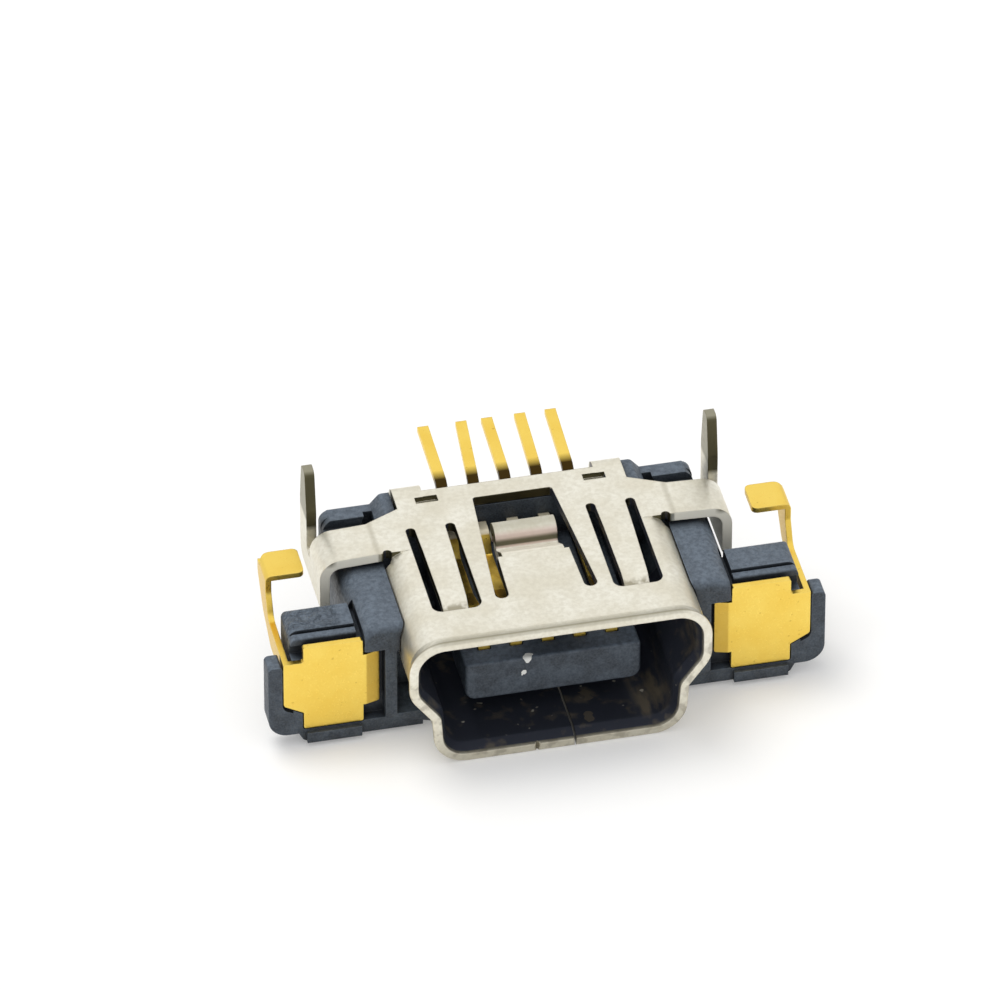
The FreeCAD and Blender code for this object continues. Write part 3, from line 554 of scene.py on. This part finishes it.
def long_lens_camera(values):
    """Long lens at the photograph's angle, aimed so that the part sits where it does there."""
    data = bpy.data.cameras.new("camera")
    camera = bpy.data.objects.new("camera", data)
    bpy.context.scene.collection.objects.link(camera)
    level = math.cos(values.elevation)
    back = Vector((math.sin(values.azimuth) * level, -math.cos(values.azimuth) * level,
                   math.sin(values.elevation)))
    camera.rotation_mode = "QUATERNION"
    camera.rotation_quaternion = back.to_track_quat("Z", "Y")
    turn = camera.rotation_quaternion.to_matrix()
    per_pixel = values.field / PHOTO_SIDE
    across = (PART_PIXEL[0] - PHOTO_SIDE / 2) * per_pixel
    down = (PART_PIXEL[1] - PHOTO_SIDE / 2) * per_pixel
    aim = (low_corner + high_corner) / 2 + turn @ Vector((-across, down, 0.0))
    camera.location = aim + back * values.distance
    data.sensor_width = SENSOR_WIDTH
    data.lens = SENSOR_WIDTH * values.distance / values.field
    data.clip_start = values.distance * 0.2
    data.clip_end = FAR_LIMIT
    bpy.context.scene.camera = camera


class ShellFinish(bpy.types.PropertyGroup):
    """Sizes and colours of the plated shell."""

    bright_hex: bpy.props.StringProperty(name="Bright", description="Clean plating", default="#F2EFE2")
    warm_hex: bpy.props.StringProperty(name="Warm", description="Slightly tarnished plating",
                                       default="#E6E1D0")
    mottle_hex: bpy.props.StringProperty(name="Mottle", description="Fine spots in the plating",
                                         default="#D3CDBA")
    # darker along the sheet's edges, and painted shade on the lip's rim and foot, the arms' creases and the
    # spring tips
    edge_hex: bpy.props.StringProperty(name="Edge", description="Worn edges, lip, creases and spring tips",
                                       default="#A39C87")
    # painted reflection on the front of the tongue's curl
    curl_reflection_hex: bpy.props.StringProperty(name="Curl", description="Front of the tongue's curl",
                                       default="#C4AAA0")
    # bare cut steel, with painted shade in the slots, relief holes and legs' front edges
    sheared_and_shade_hex: bpy.props.StringProperty(name="Sheared", description="Cut faces of the sheet",
                                          default="#5C5843")
    # painted shade on the legs
    leg_shade_hex: bpy.props.StringProperty(name="Legs", description="Dull plating of the legs", default="#86826C")
    # painted shade inside the shell
    inside_shade_hex: bpy.props.StringProperty(name="Inside", description="Dull plating inside", default="#3C404C")
    # stains, and the painted reflections inside the mouth
    stain_and_reflection_hex: bpy.props.StringProperty(name="Stain", description="Grey-brown stains", default="#7C7364")
    seam_hex: bpy.props.StringProperty(name="Seam", description="Grime in the seam", default="#26241F")
    roughness: bpy.props.FloatProperty(name="Roughness", description="Satin of the plating", default=0.4,
                                       min=0.05, max=1.0)
    cloud_size: bpy.props.FloatProperty(name="Cloud size", description="Clouds in the plating",
                                        default=0.9 * MM, unit="LENGTH")
    mottle_size: bpy.props.FloatProperty(name="Mottle size", description="Spots in the plating",
                                         default=0.11 * MM, unit="LENGTH")
    roll_spacing: bpy.props.FloatProperty(name="Roll spacing", description="Spacing of the rolling lines",
                                          default=0.06 * MM, unit="LENGTH")
    edge_width: bpy.props.FloatProperty(name="Edge width", description="Softened edge of the sheet",
                                        default=0.04 * MM, unit="LENGTH")


class MouldingFinish(bpy.types.PropertyGroup):
    """Sizes and colours of the dark moulding."""

    dark_hex: bpy.props.StringProperty(name="Dark", description="Fresh skin", default="#293038")
    # painted light on the faces that look up
    top_light_hex: bpy.props.StringProperty(name="Pale", description="Dusty upper skin", default="#5C6774")
    # flow marks, and painted sheen where they lie on the tops
    flow_and_sheen_hex: bpy.props.StringProperty(name="Flow", description="Flow marks", default="#616D7A")
    deep_hex: bpy.props.StringProperty(name="Pores", description="Pores of the skin", default="#2A3039")
    edge_hex: bpy.props.StringProperty(name="Edge", description="Rubbed edges", default="#7A8591")
    # painted shade in the corners
    crevice_shade_hex: bpy.props.StringProperty(name="Grime", description="Grime in the corners", default="#14171C")
    fleck_hex: bpy.props.StringProperty(name="Flecks", description="Specks of dust", default="#F2F2EE")
    roughness: bpy.props.FloatProperty(name="Roughness", description="Texture of the mould", default=0.5,
                                       min=0.05, max=1.0)
    flow_size: bpy.props.FloatProperty(name="Flow size", description="Flow marks", default=0.5 * MM,
                                       unit="LENGTH")
    grain_size: bpy.props.FloatProperty(name="Grain size", description="Spark-eroded mould grain",
                                        default=0.11 * MM, unit="LENGTH")


class GoldFinish(bpy.types.PropertyGroup):
    """Sizes and colours of the gold contacts."""

    yellow_hex: bpy.props.StringProperty(name="Yellow", description="Thick gold", default="#F8D86A")
    orange_hex: bpy.props.StringProperty(name="Orange", description="Thin gold", default="#F0C955")
    edge_hex: bpy.props.StringProperty(name="Edge", description="Bright edges", default="#F8DE7C")
    # painted glint on the contacts' knees
    glint_hex: bpy.props.StringProperty(name="Knees", description="Rubbed knees", default="#F7EFD6")
    # sheared sides, tarnish and specks, and painted shade on the inner ears
    brown_and_shade_hex: bpy.props.StringProperty(name="Brown", description="Sheared sides and tarnish",
                                        default="#B58A34")
    # painted shade at the leads' roots
    root_shade_hex: bpy.props.StringProperty(name="Roots", description="Flux at the leads' roots",
                                       default="#2A1B0B")
    roughness: bpy.props.FloatProperty(name="Roughness", description="Satin of the gold", default=0.32,
                                       min=0.05, max=1.0)
    cloud_size: bpy.props.FloatProperty(name="Cloud size", description="Clouds in the gold", default=0.8 * MM,
                                        unit="LENGTH")


class StageSettings(bpy.types.PropertyGroup):
    """Floor, surroundings, lamp and camera."""

    floor_hex: bpy.props.StringProperty(name="Floor", description="Paper under the part", default="#E4E4E4")
    floor_glow: bpy.props.FloatProperty(name="Floor white", description="White added to what the eye sees",
                                        default=0.22, min=0.0, max=1.0)
    sky_low: bpy.props.FloatProperty(name="Tent, low", description="Tent at the horizon", default=0.4,
                                     min=0.0)
    sky_high: bpy.props.FloatProperty(name="Tent, high", description="Tent overhead", default=0.7,
                                      min=0.0)
    sky_front: bpy.props.FloatProperty(name="Tent, front", description="More light from the front",
                                       default=0.35, min=0.0)
    key_level: bpy.props.FloatProperty(name="Key level", description="Light from the lamp", default=0.55,
                                       min=0.0)
    lamp_hex: bpy.props.StringProperty(name="Lamp colour", description="Colour of the lamp",
                                       default="#FFFEFB")
    lamp_size: bpy.props.FloatProperty(name="Lamp size", description="Side of the lamp", default=120 * MM,
                                       unit="LENGTH")
    lamp_distance: bpy.props.FloatProperty(name="Lamp distance", description="Lamp to the part",
                                           default=200 * MM, unit="LENGTH")
    azimuth: bpy.props.FloatProperty(name="Azimuth", description="Camera round the part",
                                     default=math.radians(-12.6), subtype="ANGLE")
    elevation: bpy.props.FloatProperty(name="Elevation", description="Camera above the floor",
                                       default=math.radians(38.6), subtype="ANGLE")
    distance: bpy.props.FloatProperty(name="Distance", description="Camera to the part", default=300 * MM,
                                      unit="LENGTH")
    field: bpy.props.FloatProperty(name="Field", description="Width seen at the part", default=24.4 * MM,
                                   unit="LENGTH")


class SOCKET_OT_plated_shell(bpy.types.Operator):
    """Finish the folded metal shell"""

    bl_idname = "socket.plated_shell"
    bl_label = "Plated Shell"

    def execute(self, context):
        paint(SHELL_NODES, nickel_plated_steel(context.scene.socket_shell))
        return {"FINISHED"}


class SOCKET_OT_dark_moulding(bpy.types.Operator):
    """Finish the dark moulding"""

    bl_idname = "socket.dark_moulding"
    bl_label = "Dark Moulding"

    def execute(self, context):
        paint(MOULDING_NODES, moulded_polymer(context.scene.socket_moulding))
        return {"FINISHED"}


class SOCKET_OT_gold_contacts(bpy.types.Operator):
    """Finish the signal contacts and the charging contacts"""

    bl_idname = "socket.gold_contacts"
    bl_label = "Gold Contacts"

    def execute(self, context):
        paint(CONTACT_NODES, gold_plated_strip(context.scene.socket_gold))
        return {"FINISHED"}


class SOCKET_OT_stage(bpy.types.Operator):
    """Lay the floor, hang the lamp and place the camera"""

    bl_idname = "socket.stage"
    bl_label = "Stage"

    def execute(self, context):
        values = context.scene.socket_stage
        paper_floor(values)
        studio_world(values)
        key_lamp(values)
        long_lens_camera(values)
        context.scene.view_settings.view_transform = "Standard"
        return {"FINISHED"}


class SOCKET_PT_panel(bpy.types.Panel):
    """Sidebar panel that lists the socket's operators and settings"""

    bl_idname = "SOCKET_PT_panel"
    bl_label = "Socket"
    bl_space_type = "VIEW_3D"
    bl_region_type = "UI"
    bl_category = "Socket"

    def draw(self, context):
        for operator in OPERATORS:
            self.layout.operator(operator.bl_idname)
        for name in GROUPS:
            box = self.layout.box()
            group = getattr(context.scene, name)
            for key in group.__annotations__:
                box.prop(group, key)


OPERATORS = (SOCKET_OT_plated_shell, SOCKET_OT_dark_moulding, SOCKET_OT_gold_contacts, SOCKET_OT_stage)
GROUPS = {"socket_shell": ShellFinish, "socket_moulding": MouldingFinish, "socket_gold": GoldFinish,
          "socket_stage": StageSettings}


def register():
    """Register the settings, operators and panel."""
    for name, group in GROUPS.items():
        bpy.utils.register_class(group)
        setattr(bpy.types.Scene, name, bpy.props.PointerProperty(type=group))
    for item in OPERATORS + (SOCKET_PT_panel,):
        bpy.utils.register_class(item)


def unregister():
    """Remove the settings, operators and panel."""
    for item in (SOCKET_PT_panel,) + OPERATORS[::-1]:
        bpy.utils.unregister_class(item)
    for name, group in GROUPS.items():
        delattr(bpy.types.Scene, name)
        bpy.utils.unregister_class(group)


def main():
    """Run every operator."""
    register()
    bpy.ops.socket.plated_shell()
    bpy.ops.socket.dark_moulding()
    bpy.ops.socket.gold_contacts()
    bpy.ops.socket.stage()


if __name__ == "__main__":
    main()
